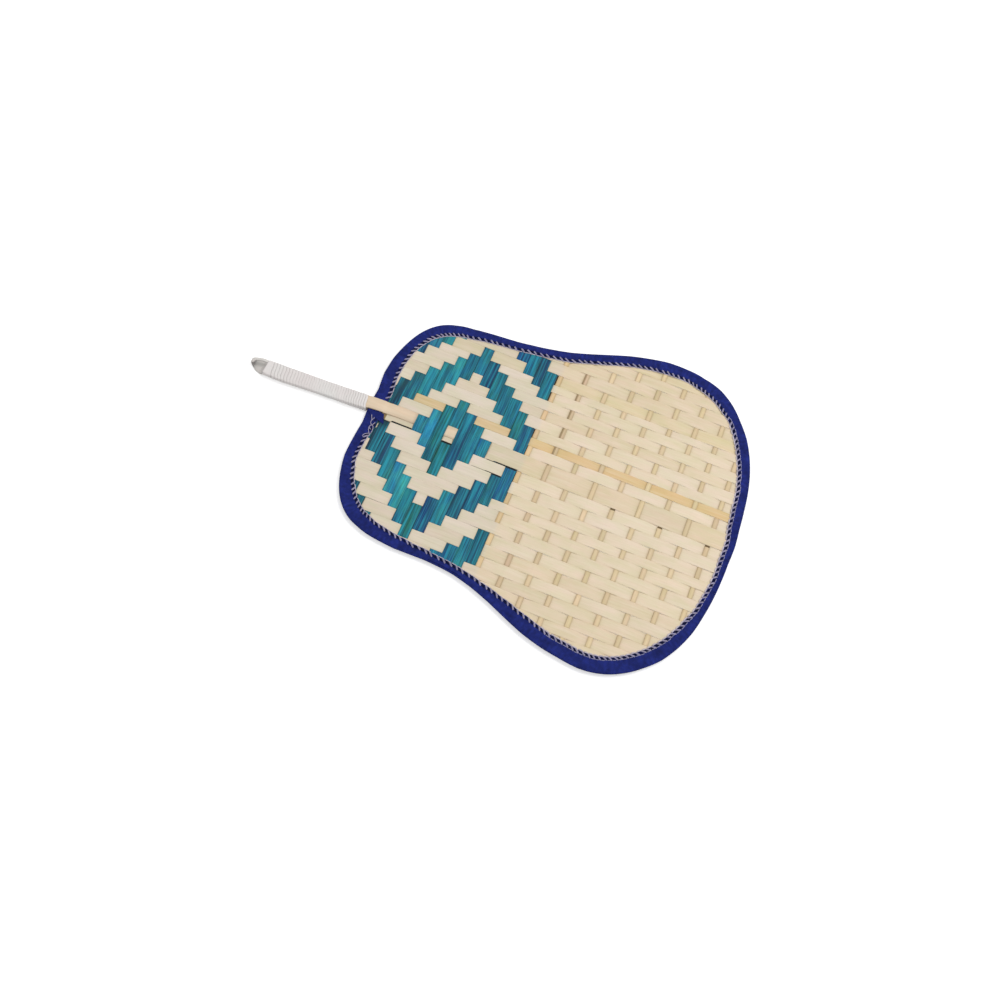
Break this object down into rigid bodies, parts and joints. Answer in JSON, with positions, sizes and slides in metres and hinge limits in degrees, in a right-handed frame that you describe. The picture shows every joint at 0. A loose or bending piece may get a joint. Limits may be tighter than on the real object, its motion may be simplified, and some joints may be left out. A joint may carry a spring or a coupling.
{
  "type": "woven hand fan",
  "caption": "Flat hand fan of woven splints with a dyed diamond at the root, a cloth-bound edge, and a grip bent from one strip that ends in a hanging loop.",
  "frame": {"origin": "centre of the bounding box in X and Y, at its lowest height, with the fan lying on its back", "axes": "+X from the hanging loop to the far end of the blade, +Y across the blade, +Z out of its front face"},
  "size_m": [0.4003, 0.2788, 0.0076],
  "materials": {
    "natural_bamboo": "pale split bamboo, satin, fine lengthwise grain",
    "tan_bamboo": "split bamboo from nearer the skin, tan, satin",
    "dyed_bamboo": "split bamboo dyed teal to blue, streaked along the grain",
    "handle_bamboo": "planed bamboo strip, satin",
    "binding_cloth": "plain blue cotton tape with a whipped edge in pale thread",
    "grip_tape": "white tape, slightly glossy, wound in close turns"
  },
  "bodies": {
    "root": {"long_splint_left_14": "natural_bamboo", "long_splint_left_13": "natural_bamboo", "long_splint_left_12": "natural_bamboo", "long_splint_left_11": "natural_bamboo", "long_splint_left_10": "natural_bamboo", "long_splint_left_09": "natural_bamboo", "long_splint_left_08": "natural_bamboo", "long_splint_left_07": "natural_bamboo", "long_splint_left_06": "natural_bamboo", "long_splint_left_05": "natural_bamboo", "long_splint_left_04": "natural_bamboo", "long_splint_left_03": "natural_bamboo", "long_splint_left_02": "tan_bamboo", "long_splint_left_01": "natural_bamboo", "long_splint_middle": "natural_bamboo", "long_splint_right_01": "natural_bamboo", "long_splint_right_02": "natural_bamboo", "long_splint_right_03": "natural_bamboo", "long_splint_right_04": "natural_bamboo", "long_splint_right_05": "natural_bamboo", "long_splint_right_06": "natural_bamboo", "long_splint_right_07": "natural_bamboo", "long_splint_right_08": "natural_bamboo", "long_splint_right_09": "natural_bamboo", "long_splint_right_10": "natural_bamboo", "long_splint_right_11": "natural_bamboo", "long_splint_right_12": "natural_bamboo", "long_splint_right_13": "natural_bamboo", "long_splint_right_14": "natural_bamboo", "dyed_cross_splint_01": "dyed_bamboo", "dyed_cross_splint_02": "dyed_bamboo", "dyed_cross_splint_03": "dyed_bamboo", "dyed_cross_splint_04": "dyed_bamboo", "dyed_cross_splint_05": "dyed_bamboo", "dyed_cross_splint_06": "dyed_bamboo", "dyed_cross_splint_07": "dyed_bamboo", "dyed_cross_splint_08": "dyed_bamboo", "dyed_cross_splint_09": "dyed_bamboo", "dyed_cross_splint_10": "dyed_bamboo", "dyed_cross_splint_11": "dyed_bamboo", "dyed_cross_splint_12": "dyed_bamboo", "dyed_cross_splint_13": "dyed_bamboo", "dyed_cross_splint_14": "dyed_bamboo", "plain_cross_splint_01": "tan_bamboo", "plain_cross_splint_02": "tan_bamboo", "plain_cross_splint_03": "tan_bamboo", "plain_cross_splint_04": "tan_bamboo", "plain_cross_splint_05": "tan_bamboo", "plain_cross_splint_06": "tan_bamboo", "plain_cross_splint_07": "tan_bamboo", "plain_cross_splint_08": "tan_bamboo", "plain_cross_splint_09": "tan_bamboo", "edge_binding": "binding_cloth", "handle_strip": "handle_bamboo", "grip_tape": "grip_tape"}
  },
  "joints": []
}
